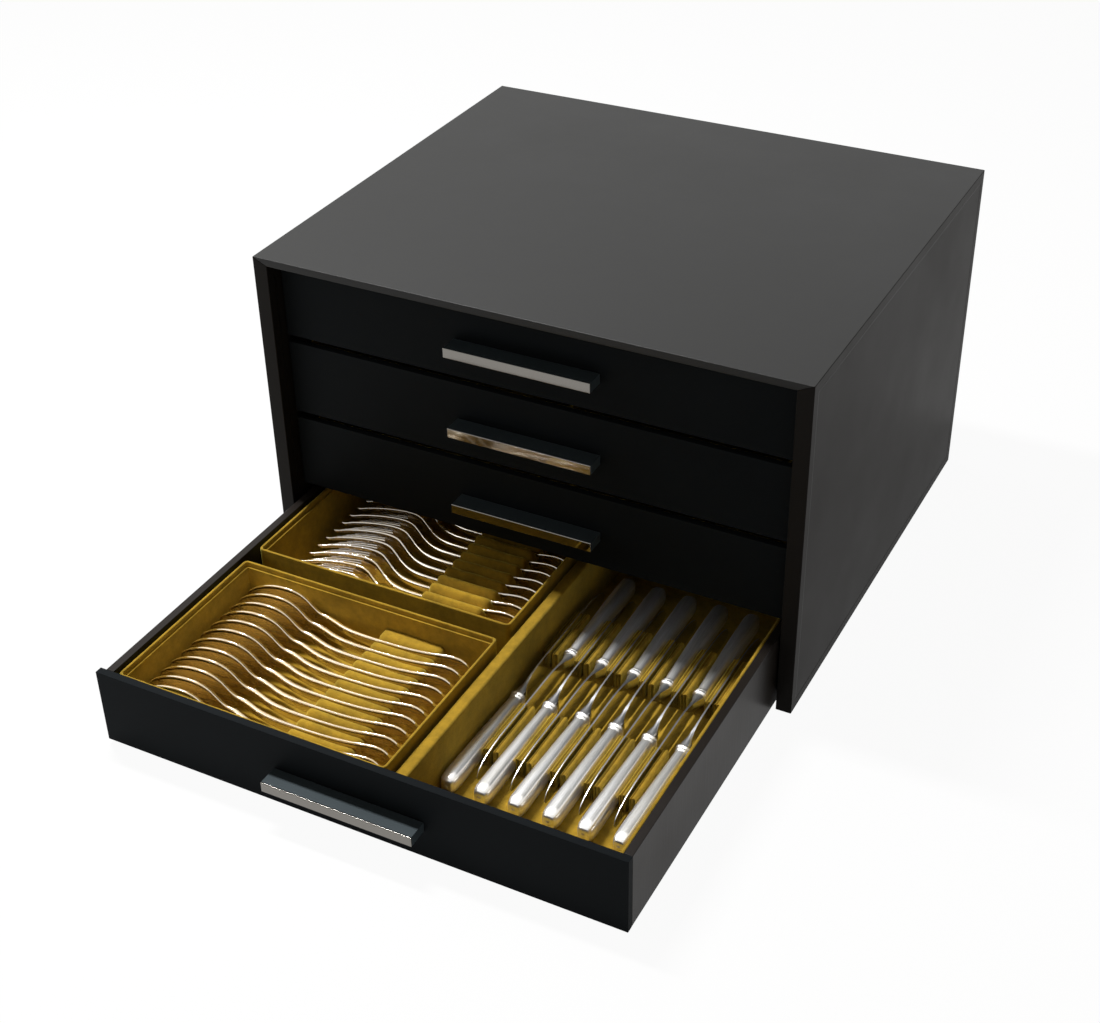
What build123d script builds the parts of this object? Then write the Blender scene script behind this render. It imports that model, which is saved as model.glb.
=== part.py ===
from build123d import *
from math import cos, pi, sin
import os

# Silverware chest with four drawers, the bottom one pulled out to show its
# fitted spoons, forks and knives.  Millimetres, +Z up, front towards -Y.
# Origin: the middle of the case's footprint, on the surface it stands on.

# ---- case -------------------------------------------------------------
case_width = 450.0
case_depth = 391.4
case_height = 280.6
side_board = 12.3
top_board = 6.0
base_board = 4.0
shelf_board = 4.0
back_board = 12.0
drawer_names = ["bottom", "lower", "upper", "top"]

# ---- drawer boxes, sliding straight on the shelves ---------------------
front_recess = 15.0         # drawer fronts lie behind the case's front edge
front_board = 6.0
front_side_gap = 1.7        # between a front and the case side
head_gap = 1.85             # over a drawer
closing_gap = 0.5           # behind a closed drawer
left_overhang = 5.0         # the front covers the play left of the box
box_side = 6.5
box_bottom = 4.0
box_back = 6.5
back_drop = 2.0             # the box back is lower than its sides
front_to_shelf_gap = 0.6    # shelves start behind the fronts
open_distance = 266.8       # how far the bottom drawer stands open

# ---- pulls ------------------------------------------------------------
pull_length = 120.4
pull_height = 8.0
pull_depth = 15.5
pull_below_middle = 3.3     # centre of the pull under the front's centre
strip_thickness = 1.2
strip_edge = 0.4
screw_spacing = 64.0
screw_radius = 1.8
screw_head_radius = 3.4
screw_grip = 9.0            # length of screw inside the pull
hole_clearance = 0.1
screw_sides = 12            # round screws and their holes, as many-sided prisms

# ---- velvet trays -----------------------------------------------------
front_tray_gap = 0.5        # behind the front board
left_tray_gap = 3.0         # between the box's left side and the trays
right_tray_gap = 0.5
tray_width = 224.5
tray_length = 156.5
tray_spacing = 16.5         # the drawer's floor shows between the trays
tray_wall = 2.0
tray_floor = 8.0            # card former with its padding
tray_top_drop = 1.3         # tray rim under the top of the box sides
tray_corner = 4.0
rim_bevel = 0.6
lining_board = 1.5
lining_drop = 4.4           # lining's top under the tray's rim
lining_gap = 0.1
rail_gap = 2.5              # between the trays and the knife tray
knife_rail = 9.5            # broad left wall of the knife tray
knife_rail_drop = 8.3
knife_lining = 2.5
knife_floor = 4.0
rib_wall = 3.5              # partition of the plain upper trays

# ---- racks ------------------------------------------------------------
rack_inset = 126.5          # from a tray's left side to its rack
rack_width = 55.5
rack_end_gap = 0.3
spoon_rack_height = 29.0
fork_rack_height = 27.0
plain_rack_height = 20.0
plain_slot_floor = 6.0
slot_width = 3.6
slot_gap = 0.25              # before a handle's face, in its slot
fold_round = 3.2
plain_fold_bevel = 2.0
knife_rack_length = 55.5
front_rack_from_tip = 20.5  # knife racks, back from the tips of the blades they hold
rear_rack_from_tip = 38.5
loop_height = 15.8
loop_clearance = 0.5        # between a loop and the handle beside it
loop_sheet_share = 0.2      # of a loop's width
loop_bevel_share = 0.3
loop_base = 0.8
blade_gap = 0.3             # between loops and blades

# ---- spoons and forks -------------------------------------------------
place_settings = 12
sheet_metal = 2.0
rest_gap = 0.1
spoon_pitch = 12.2
spoon_bowl = 45.0           # widest
spoon_end_gap = 13.3        # handle ends to the tray's right lining
fork_pitch = 12.0
fork_head = 25.6
fork_end_gap = 11.5
tine_gap = 2.7
tine_length = 42.0
rack_slot_floor = 13.0      # under the spoon handles, over the tray floor
fork_slot_floor = 3.0

# ---- knives -----------------------------------------------------------
knives_per_row = 6
knife_wall_gap = 0.5        # first handle to the tray's broad wall
last_knife_gap = 1.7        # last handle to the tray's right wall
handle_width = 13.0
handle_depth = 15.6
collar_length = 3.0
handle_length = 107.5
bolster_length = 20.0
bolster_root = 4.0          # how far the blade reaches into the bolster
neck_depth = 9.0            # depth of the blade there
blade_length = 143.5        # from the collar to the tip
blade_depth = 17.0
blade_thickness = 2.2
front_knives_from = 50.0    # handle ends, from the face of the drawer front
rear_knives_to = 321.5

# ---- worked out -------------------------------------------------------
case_front = -case_depth / 2
outer_half = case_width / 2
inner_half = outer_half - side_board
drawer_count = len(drawer_names)
clear_height = case_height - top_board - base_board - (drawer_count - 1) * shelf_board
shelf_pitch = clear_height / drawer_count + shelf_board
drawer_height = clear_height / drawer_count - head_gap
front_half = inner_half - front_side_gap
box_left = -front_half + left_overhang
box_right = front_half
box_inner_left = box_left + box_side
box_inner_right = box_right - box_side
closed_front = case_front + front_recess
shelf_front = closed_front + front_board + front_to_shelf_gap
back_front = case_depth / 2 - back_board
box_length = back_front - closing_gap - closed_front
inner_length = box_length - front_board - box_back
tray_height = drawer_height - box_bottom - tray_top_drop
tray_left = box_inner_left + left_tray_gap
tray_right = tray_left + tray_width
rail_left = tray_right + rail_gap
knife_tray_end = box_inner_right - right_tray_gap
well_left = rail_left + knife_rail
well_right = knife_tray_end - knife_lining
handles_span = well_right - well_left - knife_wall_gap - last_knife_gap - handle_width
knife_pitch = handles_span / (knives_per_row - 0.5)
loop_room = knife_pitch / 2 - handle_width / 2 - loop_clearance
loop_width = loop_room - blade_thickness / 2 - blade_gap
loop_sheet = loop_width * loop_sheet_share
loop_bevel = loop_width * loop_bevel_share
lining_in = tray_wall + lining_board
rack_left = tray_left + rack_inset

os.makedirs("parts", exist_ok=True)


def save(piece, name):
    """Label a finished piece and write it to its own file."""
    piece.label = name
    export_step(piece, f"parts/{name}.step")


def faceted(rings):
    """A solid with flat facets between rings of matching corner points."""
    outlines = [rings[0], rings[-1]]
    for ring, following in zip(rings, rings[1:]):
        for n in range(len(ring)):
            after = (n + 1) % len(ring)
            outlines.append([ring[n], ring[after], following[after], following[n]])
    return Solid(Shell([Face(Wire.make_polygon(outline, close=True)) for outline in outlines]))


def block(x0, x1, y0, y1, z0, z1):
    """A board between two corners."""
    with BuildPart() as board:
        with BuildSketch(Plane.XY.offset(z0)):
            with Locations(((x0 + x1) / 2, (y0 + y1) / 2)):
                Rectangle(x1 - x0, y1 - y0)
        extrude(amount=z1 - z0)
    return board.part


def mitred_board(points):
    """A case board with the given outline in XZ, over the whole depth."""
    with BuildPart() as board:
        with BuildSketch(Plane.XZ.offset(-case_front)):
            with BuildLine():
                Polyline(*points, close=True)
            make_face()
        extrude(amount=-case_depth)
    return board.part


# ---- case: top and sides meet in mitres -------------------------------
top_underside = case_height - top_board
top_points = [
    (-outer_half, case_height),
    (outer_half, case_height),
    (inner_half, top_underside),
    (-inner_half, top_underside),
]
save(mitred_board(top_points), "top_panel")
for side_name, side in (("left_panel", -1), ("right_panel", 1)):
    side_points = [
        (side * outer_half, 0),
        (side * inner_half, 0),
        (side * inner_half, top_underside),
        (side * outer_half, case_height),
    ]
    save(mitred_board(side_points), side_name)
save(block(-inner_half, inner_half, back_front, -case_front, 0, top_underside), "back_panel")
save(block(-inner_half, inner_half, shelf_front, back_front, 0, base_board), "base_panel")
for level, shelf_name in enumerate(["low_shelf", "middle_shelf", "high_shelf"], start=1):
    shelf_top = base_board + level * shelf_pitch
    save(
        block(-inner_half, inner_half, shelf_front, back_front, shelf_top - shelf_board, shelf_top),
        shelf_name,
    )


# ---- drawer boxes and pulls -------------------------------------------
def screw_ring(x0, y, z0, radius):
    """Corner points of a screw's section."""
    turns = [2 * pi * n / screw_sides for n in range(screw_sides)]
    return [(x0 + radius * cos(turn), y, z0 + radius * sin(turn)) for turn in turns]


def pull_screws(y0, pull_z):
    """Two countersunk screws that hold a pull from behind its front."""
    head_y = y0 + front_board
    with BuildPart() as screws:
        for x0 in (-screw_spacing / 2, screw_spacing / 2):
            add(faceted([
                screw_ring(x0, head_y, pull_z, screw_head_radius),
                screw_ring(x0, head_y - screw_head_radius + screw_radius, pull_z, screw_radius),
                screw_ring(x0, y0 - screw_grip, pull_z, screw_radius),
            ]))
    return screws.part


def drawer_front(y0, z0, pull_z):
    """The front board, bored and countersunk for the pull's screws."""
    with BuildPart() as front:
        with BuildSketch(Plane.XZ.offset(-y0)):
            with Locations((0, z0 + drawer_height / 2)):
                Rectangle(2 * front_half, drawer_height)
            with Locations((-screw_spacing / 2, pull_z), (screw_spacing / 2, pull_z)):
                RegularPolygon(screw_radius + hole_clearance, screw_sides, mode=Mode.SUBTRACT)
        extrude(amount=-front_board)
        with BuildSketch(Plane.XZ.offset(-y0 - front_board)):
            with Locations((-screw_spacing / 2, pull_z), (screw_spacing / 2, pull_z)):
                RegularPolygon(screw_head_radius + hole_clearance, screw_sides)
        extrude(amount=screw_head_radius - screw_radius, taper=45, mode=Mode.SUBTRACT)
    return front.part


def pull_bar(y0, pull_z):
    """The wrapped bar of a pull, with blind holes for its screws."""
    with BuildPart() as bar:
        with BuildSketch(Plane.XZ.offset(-y0)):
            with Locations((0, pull_z)):
                Rectangle(pull_length, pull_height)
        extrude(amount=pull_depth)
        with BuildSketch(Plane.XZ.offset(-y0)):
            with Locations((-screw_spacing / 2, pull_z), (screw_spacing / 2, pull_z)):
                RegularPolygon(screw_radius + hole_clearance, screw_sides)
        extrude(amount=screw_grip + hole_clearance, mode=Mode.SUBTRACT)
    return bar.part


def pull_strip(y0, pull_z):
    """The polished strip that faces a pull, its front edges eased."""
    with BuildPart() as strip:
        with BuildSketch(Plane.XZ.offset(-y0 + pull_depth)):
            with Locations((0, pull_z)):
                Rectangle(pull_length, pull_height)
        extrude(amount=strip_thickness)
        chamfer(strip.faces().sort_by(Axis.Y)[0].edges(), strip_edge)
    return strip.part


for level, drawer_name in enumerate(drawer_names):
    y0 = closed_front
    if drawer_name == "bottom":
        y0 -= open_distance
    z0 = base_board + level * shelf_pitch
    z1 = z0 + drawer_height
    pull_z = z0 + drawer_height / 2 - pull_below_middle
    box_front = y0 + front_board
    box_end = y0 + box_length
    save(drawer_front(y0, z0, pull_z), f"{drawer_name}_front")
    save(pull_bar(y0, pull_z), f"{drawer_name}_pull_bar")
    save(pull_strip(y0, pull_z), f"{drawer_name}_pull_strip")
    save(pull_screws(y0, pull_z), f"{drawer_name}_pull_screws")
    save(block(box_left, box_inner_left, box_front, box_end, z0, z1), f"{drawer_name}_left_side")
    save(block(box_inner_right, box_right, box_front, box_end, z0, z1), f"{drawer_name}_right_side")
    save(
        block(box_inner_left, box_inner_right, box_front, box_end, z0, z0 + box_bottom),
        f"{drawer_name}_floor",
    )
    save(
        block(box_inner_left, box_inner_right, box_end - box_back, box_end,
              z0 + box_bottom, z1 - back_drop),
        f"{drawer_name}_back",
    )


# ---- trays and their linings ------------------------------------------
def tray(x0, x1, y0, y1, z0):
    """An open velvet tray: padded floor, thin walls, rounded corners, eased rim."""
    with BuildPart() as shell:
        with BuildSketch(Plane.XY.offset(z0)):
            with Locations(((x0 + x1) / 2, (y0 + y1) / 2)):
                RectangleRounded(x1 - x0, y1 - y0, tray_corner)
        extrude(amount=tray_height)
        with BuildSketch(Plane.XY.offset(z0 + tray_floor)):
            with Locations(((x0 + x1) / 2, (y0 + y1) / 2)):
                RectangleRounded(x1 - x0 - 2 * tray_wall, y1 - y0 - 2 * tray_wall, tray_corner - tray_wall)
        extrude(amount=tray_height - tray_floor, mode=Mode.SUBTRACT)
        chamfer(shell.faces().sort_by(Axis.Z)[-1].edges(), rim_bevel)
    return shell.part


def lining(x0, x1, y0, y1, z0, z1):
    """The thin board that lines a tray's four walls inside."""
    with BuildPart() as ring:
        with BuildSketch(Plane.XY.offset(z0)):
            with Locations(((x0 + x1) / 2, (y0 + y1) / 2)):
                RectangleRounded(x1 - x0, y1 - y0, tray_corner - tray_wall)
                Rectangle(x1 - x0 - 2 * lining_board, y1 - y0 - 2 * lining_board, mode=Mode.SUBTRACT)
        extrude(amount=z1 - z0)
    return ring.part


def pleated_rack(x0, y0, y1, slots, z0, height, slot_floor, round_folds):
    """A rack of folds along X with slots at the given y places, the first open in front."""
    with BuildPart() as rack:
        with BuildSketch(Plane.YZ.offset(x0)):
            with Locations(((y0 + y1) / 2, z0 + height / 2)):
                Rectangle(y1 - y0, height)
            with Locations(*[(y, z0 + (slot_floor + height) / 2) for y in slots]):
                Rectangle(slot_width, height - slot_floor, mode=Mode.SUBTRACT)
            open_end = slots[0] - y0
            with Locations((y0 + open_end / 2, z0 + (slot_floor + height) / 2)):
                Rectangle(open_end, height - slot_floor, mode=Mode.SUBTRACT)
        extrude(amount=rack_width)
        crests = rack.edges().filter_by(Axis.X).group_by(Axis.Z)[-1]
        if round_folds:
            fillet(crests.sort_by(Axis.Y)[:-1], fold_round)
        else:
            chamfer(crests.sort_by(Axis.Y)[:-1], plain_fold_bevel)
    return rack.part


def plain_tray(y0, z0):
    """A full-width tray with one lengthwise partition, for an upper drawer."""
    tray_y1 = y0 + inner_length - 2 * front_tray_gap
    rib_left = rail_left + rib_wall
    with BuildPart() as shell:
        add(block(tray_left, knife_tray_end, y0, tray_y1, z0, z0 + tray_height))
        add(block(tray_left + tray_wall, rail_left, y0 + tray_wall, tray_y1 - tray_wall,
                  z0 + tray_floor, z0 + tray_height), mode=Mode.SUBTRACT)
        add(block(rib_left, knife_tray_end - tray_wall, y0 + tray_wall, tray_y1 - tray_wall,
                  z0 + tray_floor, z0 + tray_height), mode=Mode.SUBTRACT)
    return shell.part


for level, drawer_name in enumerate(drawer_names[1:], start=1):
    tray_y = closed_front + front_board + front_tray_gap
    tray_z = base_board + level * shelf_pitch + box_bottom
    save(plain_tray(tray_y, tray_z), f"{drawer_name}_tray")
    with BuildPart() as racks:
        for row in range(2):
            rack_y0 = tray_y + tray_wall + rack_end_gap + row * (tray_length + tray_spacing)
            rack_y1 = rack_y0 + tray_length - 2 * tray_wall - 2 * rack_end_gap
            first_slot = (rack_y0 + rack_y1 - (place_settings - 1) * fork_pitch) / 2
            slots = [first_slot + n * fork_pitch for n in range(place_settings)]
            add(pleated_rack(rack_left, rack_y0, rack_y1, slots, tray_z + tray_floor,
                             plain_rack_height, plain_slot_floor, False))
    save(racks.part, f"{drawer_name}_racks")

# ---- the bottom drawer's fitted trays ---------------------------------
drawer_y = closed_front - open_distance
tray_z = base_board + box_bottom
floor_z = tray_z + tray_floor
spoon_tray_y = drawer_y + front_board + front_tray_gap
fork_tray_y = spoon_tray_y + tray_length + tray_spacing
for tray_name, tray_y in (("spoon", spoon_tray_y), ("fork", fork_tray_y)):
    save(tray(tray_left, tray_right, tray_y, tray_y + tray_length, tray_z), f"{tray_name}_tray")
    save(
        lining(tray_left + tray_wall + lining_gap, tray_right - tray_wall - lining_gap,
               tray_y + tray_wall + lining_gap, tray_y + tray_length - tray_wall - lining_gap,
               floor_z, tray_z + tray_height - lining_drop),
        f"{tray_name}_tray_lining",
    )

knife_tray_y0 = spoon_tray_y
knife_tray_y1 = knife_tray_y0 + inner_length - 2 * front_tray_gap
with BuildPart() as knife_tray:
    with BuildSketch(Plane.XZ.offset(-knife_tray_y0)):
        with BuildLine():
            Polyline(
                (rail_left, tray_z),
                (knife_tray_end, tray_z),
                (knife_tray_end, tray_z + tray_height),
                (well_right, tray_z + tray_height),
                (well_right, tray_z + knife_floor),
                (well_left, tray_z + knife_floor),
                (well_left, tray_z + tray_height - knife_rail_drop),
                (rail_left, tray_z + tray_height - knife_rail_drop),
                close=True,
            )
        make_face()
    extrude(amount=-(knife_tray_y1 - knife_tray_y0))
    rail_edges = knife_tray.edges().filter_by(Axis.Y).filter_by(
        lambda edge: abs(edge.center().Z - (tray_z + tray_height - knife_rail_drop)) < rim_bevel
    )
    fillet(rail_edges, 3 * rim_bevel)
save(knife_tray.part, "knife_tray")

# ---- spoons and forks, on edge, hollow side to the front ---------------
# Side view of a spoon: distance from the tip and rise behind the handle's
# line, for the rim and the stem; then half the width at each of them.
spoon_line = [
    (0.0, 5.6), (9.0, 4.6), (22.0, 4.0), (38.0, 4.2), (50.0, 5.4), (59.0, 7.2),
    (66.0, 9.0), (72.0, 9.2), (79.0, 7.6), (87.0, 5.0), (96.0, 2.8), (108.0, 1.2),
    (124.0, 0.3), (150.0, 0.0), (171.0, 0.6), (184.0, 2.4), (194.0, 3.6), (201.7, 3.2),
]
spoon_half_widths = [
    1.5, 11.5, 18.8, spoon_bowl / 2, 19.6, 13.2,
    5.4, 3.2, 3.2, 3.4, 3.8, 4.3,
    4.9, 6.2, 8.0, 9.4, 9.6, 4.0,
]
bowl_stations = 7           # of the stations above, those of the bowl
bowl_depth_share = 0.3      # depth of the bowl over its half width there
bowl_flat = 0.5             # share of the width that the bowl's bottom takes
fork_line = [
    (0.0, 2.0), (10.0, 6.0), (22.0, 10.4), (34.0, 13.0), (45.0, 14.0), (54.0, 13.8),
    (62.0, 11.6), (70.0, 8.0), (78.0, 4.6), (87.0, 2.2), (98.0, 0.8), (114.0, 0.0),
    (142.0, 0.0), (160.0, 0.4), (174.0, 2.4), (185.0, 3.6), (193.0, 3.2),
]
fork_half_widths = [
    10.6, 11.4, 12.0, 12.5, fork_head / 2, 12.0,
    7.6, 3.8, 3.2, 3.4, 3.8, 4.4,
    5.8, 7.6, 9.2, 9.4, 4.0,
]


def flat_iron(line, half_widths, first):
    """Stem of a spoon or a whole fork: the bent sheet cut to its outline."""
    line = line[first:]
    half_widths = half_widths[first:]
    with BuildPart() as iron:
        with BuildSketch(Plane.XY.offset(-max(half_widths))):
            with BuildLine():
                Polyline(*line, *[(x, y + sheet_metal) for x, y in reversed(line)], close=True)
            make_face()
        extrude(amount=2 * max(half_widths))
        with BuildSketch(Plane.XZ):
            with BuildLine():
                upper = [(point[0], half) for point, half in zip(line, half_widths)]
                Polyline(*upper, *[(x, -z) for x, z in reversed(upper)], close=True)
            make_face()
        extrude(amount=-max(y for _, y in line) - 2 * sheet_metal, mode=Mode.INTERSECT)
    return iron.part


def spoon():
    """A spoon along +X from its tip: faceted bowl joined to a flat stem."""
    bowl = []
    for (x, rise), half in list(zip(spoon_line, spoon_half_widths))[:bowl_stations]:
        deep = rise + half * bowl_depth_share
        flat = half * bowl_flat
        bowl.append([
            (x, rise, -half), (x, deep, -flat), (x, deep, flat), (x, rise, half),
            (x, rise + sheet_metal, half), (x, deep + sheet_metal, flat),
            (x, deep + sheet_metal, -flat), (x, rise + sheet_metal, -half),
        ])
    with BuildPart() as iron:
        add(faceted(bowl))
        add(flat_iron(spoon_line, spoon_half_widths, bowl_stations - 1))
    return iron.part


def fork():
    """A fork along +X from its tips, with three slots between four tines."""
    tine_width = (2 * fork_half_widths[0] - 3 * tine_gap) / 4
    tine_pitch = tine_width + tine_gap
    with BuildPart() as iron:
        add(flat_iron(fork_line, fork_half_widths, 0))
        with BuildSketch(Plane.XZ):
            with Locations(*[(tine_length / 2, n * tine_pitch) for n in (-1, 0, 1)]):
                Rectangle(tine_length, tine_gap)
        extrude(amount=-2 * fork_head, mode=Mode.SUBTRACT)
    return iron.part


def spread(piece, x0, first_y, pitch, z0):
    """A dozen copies of a piece, one behind the other."""
    with BuildPart() as dozen:
        with Locations(*[(x0, first_y + n * pitch, z0) for n in range(place_settings)]):
            add(piece)
    return dozen.part


inner_right = tray_right - lining_in
spoon_reach = spoon_line[-1][0]
bowl_rises = [rise + half * bowl_depth_share
              for (_, rise), half in list(zip(spoon_line, spoon_half_widths))[:bowl_stations]]
spoon_rise = max(bowl_rises) + sheet_metal
spoon_run = (place_settings - 1) * spoon_pitch + spoon_rise
spoon_y = spoon_tray_y + (tray_length - spoon_run) / 2
spoon_z = floor_z + rest_gap + spoon_bowl / 2
save(spread(spoon(), inner_right - spoon_end_gap - spoon_reach, spoon_y, spoon_pitch, spoon_z), "spoons")

fork_reach = fork_line[-1][0]
fork_rise = max(rise for _, rise in fork_line) + sheet_metal
fork_run = (place_settings - 1) * fork_pitch + fork_rise
fork_y = fork_tray_y + (tray_length - fork_run) / 2
fork_z = floor_z + rest_gap + fork_head / 2
save(spread(fork(), inner_right - fork_end_gap - fork_reach, fork_y, fork_pitch, fork_z), "forks")

for rack_name, tray_y, first_y, pitch, height, slot_floor in (
    ("spoon_rack", spoon_tray_y, spoon_y, spoon_pitch, spoon_rack_height, rack_slot_floor),
    ("fork_rack", fork_tray_y, fork_y, fork_pitch, fork_rack_height, fork_slot_floor),
):
    slots = [first_y - slot_gap + slot_width / 2 + n * pitch for n in range(place_settings)]
    save(
        pleated_rack(rack_left, tray_y + lining_in + rack_end_gap,
                     tray_y + tray_length - lining_in - rack_end_gap,
                     slots, floor_z, height, slot_floor, True),
        rack_name,
    )

# ---- knives: two interleaved rows on edge, blades up -------------------
knife_floor_z = tray_z + knife_floor
knife_x = well_left + knife_wall_gap + handle_width / 2
knife_z = knife_floor_z + loop_base + rest_gap + handle_depth / 2
handle_stations = [
    (0.0, 0.50), (1.5, 0.75), (5.0, 0.93), (12.0, 1.0),
    (60.0, 0.88), (96.0, 0.73), (handle_length - collar_length, 0.70),
]
collar_share = 0.86
handle_corner = 0.28        # share of a section that its bevelled corners take


def octagon(y, share):
    """Corner points of a bevelled rectangle, a share of the handle's full section."""
    half_x = handle_width / 2 * share
    half_z = handle_depth / 2 * share
    cut_x = half_x * (1 - 2 * handle_corner)
    cut_z = half_z * (1 - 2 * handle_corner)
    return [
        (half_x, y, -cut_z), (half_x, y, cut_z), (cut_x, y, half_z), (-cut_x, y, half_z),
        (-half_x, y, cut_z), (-half_x, y, -cut_z), (-cut_x, y, -half_z), (cut_x, y, -half_z),
    ]


def knife_handle():
    """A hollow handle along +Y from its butt, closed by a raised collar."""
    with BuildPart() as handle:
        add(faceted([octagon(y, share) for y, share in handle_stations]))
        add(faceted([octagon(y, collar_share) for y in (handle_length - collar_length, handle_length)]))
    return handle.part


# Side view of a blade: distance from its bolster or tip, and distance from its
# spine's or its edge's line.
bolster_stations = [(0.0, 4.4, 6.4), (5.0, 3.3, 6.0), (12.0, 1.8, 6.2), (bolster_length, 1.1, 7.0)]
spine_rise = [(4.0, 1.0), (14.0, 0.0)]
spine_fall = [(34.0, 0.0), (18.0, 2.0), (7.0, 6.0), (0.0, 12.5)]
edge_at_tip = [(1.5, 1.2), (7.0, 0.0)]
edge_at_heel = [(12.0, 0.0), (3.0, 1.5)]


def knife_blade():
    """Bolster and blade along +Y from the collar, edge down, curved tip."""
    edge_z = -handle_depth / 2
    spine_z = edge_z + blade_depth
    root_y = bolster_length - bolster_root
    with BuildPart() as blade:
        for y, half_x, half_z in bolster_stations:
            with BuildSketch(Plane.XZ.offset(-y)):
                Rectangle(2 * half_x, 2 * half_z)
        loft(ruled=True)
        with BuildSketch(Plane.YZ.offset(-blade_thickness / 2)):
            with BuildLine():
                Polyline(
                    (root_y, neck_depth / 2),
                    *[(bolster_length + y, spine_z - drop) for y, drop in spine_rise],
                    *[(blade_length - y, spine_z - drop) for y, drop in spine_fall],
                    *[(blade_length - y, edge_z + rise) for y, rise in edge_at_tip],
                    *[(bolster_length + y, edge_z + rise) for y, rise in edge_at_heel],
                    (root_y, -neck_depth / 2),
                    close=True,
                )
            make_face()
        extrude(amount=blade_thickness)
    return blade.part


with BuildPart() as handles:
    with Locations(*[(knife_x + n * knife_pitch, drawer_y + front_knives_from, knife_z)
                     for n in range(knives_per_row)]):
        add(knife_handle())
    with Locations(*[Location((knife_x + (n + 0.5) * knife_pitch, drawer_y + rear_knives_to, knife_z),
                              (0, 0, 180)) for n in range(knives_per_row)]):
        add(knife_handle())
save(handles.part, "knife_handles")
with BuildPart() as blades:
    with Locations(*[(knife_x + n * knife_pitch, drawer_y + front_knives_from + handle_length, knife_z)
                     for n in range(knives_per_row)]):
        add(knife_blade())
    with Locations(*[Location((knife_x + (n + 0.5) * knife_pitch,
                               drawer_y + rear_knives_to - handle_length, knife_z),
                              (0, 0, 180)) for n in range(knives_per_row)]):
        add(knife_blade())
save(blades.part, "knife_blades")


def loop_outline(x, half, z0, z1, corner):
    """Corner points of a folded loop: upright sides and a cut-cornered top."""
    return [
        (x - half, z0), (x + half, z0), (x + half, z1 - corner), (x + half - corner, z1),
        (x - half + corner, z1), (x - half, z1 - corner),
    ]


def knife_rack(y0, first_blade):
    """Folded loops either side of every blade, joined by a sheet under them."""
    half = loop_width / 2
    loop_middle = blade_thickness / 2 + blade_gap + half
    sheet_width = (knives_per_row - 1) * knife_pitch + 2 * loop_middle
    loop_top = knife_floor_z + loop_height
    with BuildPart() as rack:
        with BuildSketch(Plane.XZ.offset(-y0)):
            with Locations((first_blade - loop_middle + sheet_width / 2, knife_floor_z + loop_base / 2)):
                Rectangle(sheet_width, loop_base)
            for n in range(knives_per_row):
                for side in (-1, 1):
                    loop_x = first_blade + n * knife_pitch + side * loop_middle
                    outer = loop_outline(loop_x, half, knife_floor_z, loop_top, loop_bevel)
                    inner = loop_outline(loop_x, half - loop_sheet, knife_floor_z + loop_base,
                                         loop_top - loop_sheet, loop_bevel - loop_sheet / 2)
                    with BuildLine():
                        Polyline(*outer, close=True)
                    make_face()
                    with BuildLine():
                        Polyline(*inner, close=True)
                    make_face(mode=Mode.SUBTRACT)
        extrude(amount=-knife_rack_length)
    return rack.part


knife_length = handle_length + blade_length
rear_tips_y = drawer_y + rear_knives_to - knife_length
front_tips_y = drawer_y + front_knives_from + knife_length
save(knife_rack(rear_tips_y + front_rack_from_tip, knife_x + knife_pitch / 2), "knife_rack_front")
save(knife_rack(front_tips_y - rear_rack_from_tip - knife_rack_length, knife_x), "knife_rack_rear")
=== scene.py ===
"""Silverware chest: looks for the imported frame.  Metres, +Z up, drawers towards -Y."""

from math import cos, pi, radians, sin

import bmesh
import bpy
from bpy.props import FloatProperty, FloatVectorProperty, IntProperty, PointerProperty
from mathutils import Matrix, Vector, noise


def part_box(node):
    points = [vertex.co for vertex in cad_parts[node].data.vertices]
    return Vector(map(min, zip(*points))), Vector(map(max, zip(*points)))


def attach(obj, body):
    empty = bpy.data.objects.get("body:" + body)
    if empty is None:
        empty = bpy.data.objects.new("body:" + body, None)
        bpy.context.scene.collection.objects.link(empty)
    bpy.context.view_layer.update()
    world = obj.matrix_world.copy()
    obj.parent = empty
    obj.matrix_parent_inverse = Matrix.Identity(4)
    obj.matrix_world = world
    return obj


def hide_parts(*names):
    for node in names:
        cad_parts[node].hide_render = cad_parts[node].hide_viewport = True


bl_info = {
    "name": "Silverware Chest",
    "version": (1, 0, 0),
    "blender": (4, 5, 0),
    "location": "View3D > Sidebar > Chest",
    "description": "Dresses a drawer chest with wrapped boards, velvet trays and table silver",
    "category": "Object",
}

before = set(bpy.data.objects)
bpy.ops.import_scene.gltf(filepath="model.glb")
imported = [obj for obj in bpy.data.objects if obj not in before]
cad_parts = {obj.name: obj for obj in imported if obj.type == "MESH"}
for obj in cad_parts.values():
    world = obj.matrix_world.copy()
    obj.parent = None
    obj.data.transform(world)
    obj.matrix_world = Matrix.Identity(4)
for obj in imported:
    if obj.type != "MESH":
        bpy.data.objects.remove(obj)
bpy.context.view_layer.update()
mm = 0.001
drawers = ("bottom", "lower", "upper", "top")


def srgb(hex_value):
    """Linear colour of an sRGB hex value."""
    parts = [int(hex_value[n:n + 2], 16) / 255 for n in (0, 2, 4)]
    return tuple(p / 12.92 if p <= 0.04045 else ((p + 0.055) / 1.055) ** 2.4 for p in parts)


def colour_property(name, description, hex_value):
    """A colour that the user may change, given as sRGB hex."""
    return FloatVectorProperty(name=name, description=description, subtype="COLOR", size=3,
                               min=0.0, max=1.0, default=srgb(hex_value))


def length_property(name, description, default):
    """A length in metres that the user may change."""
    return FloatProperty(name=name, description=description, default=default, min=0.0,
                         unit="LENGTH", precision=5)


def power_property(name, description, default):
    """A lamp's power in watts that the user may change."""
    return FloatProperty(name=name, description=description, default=default, unit="POWER")


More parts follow.
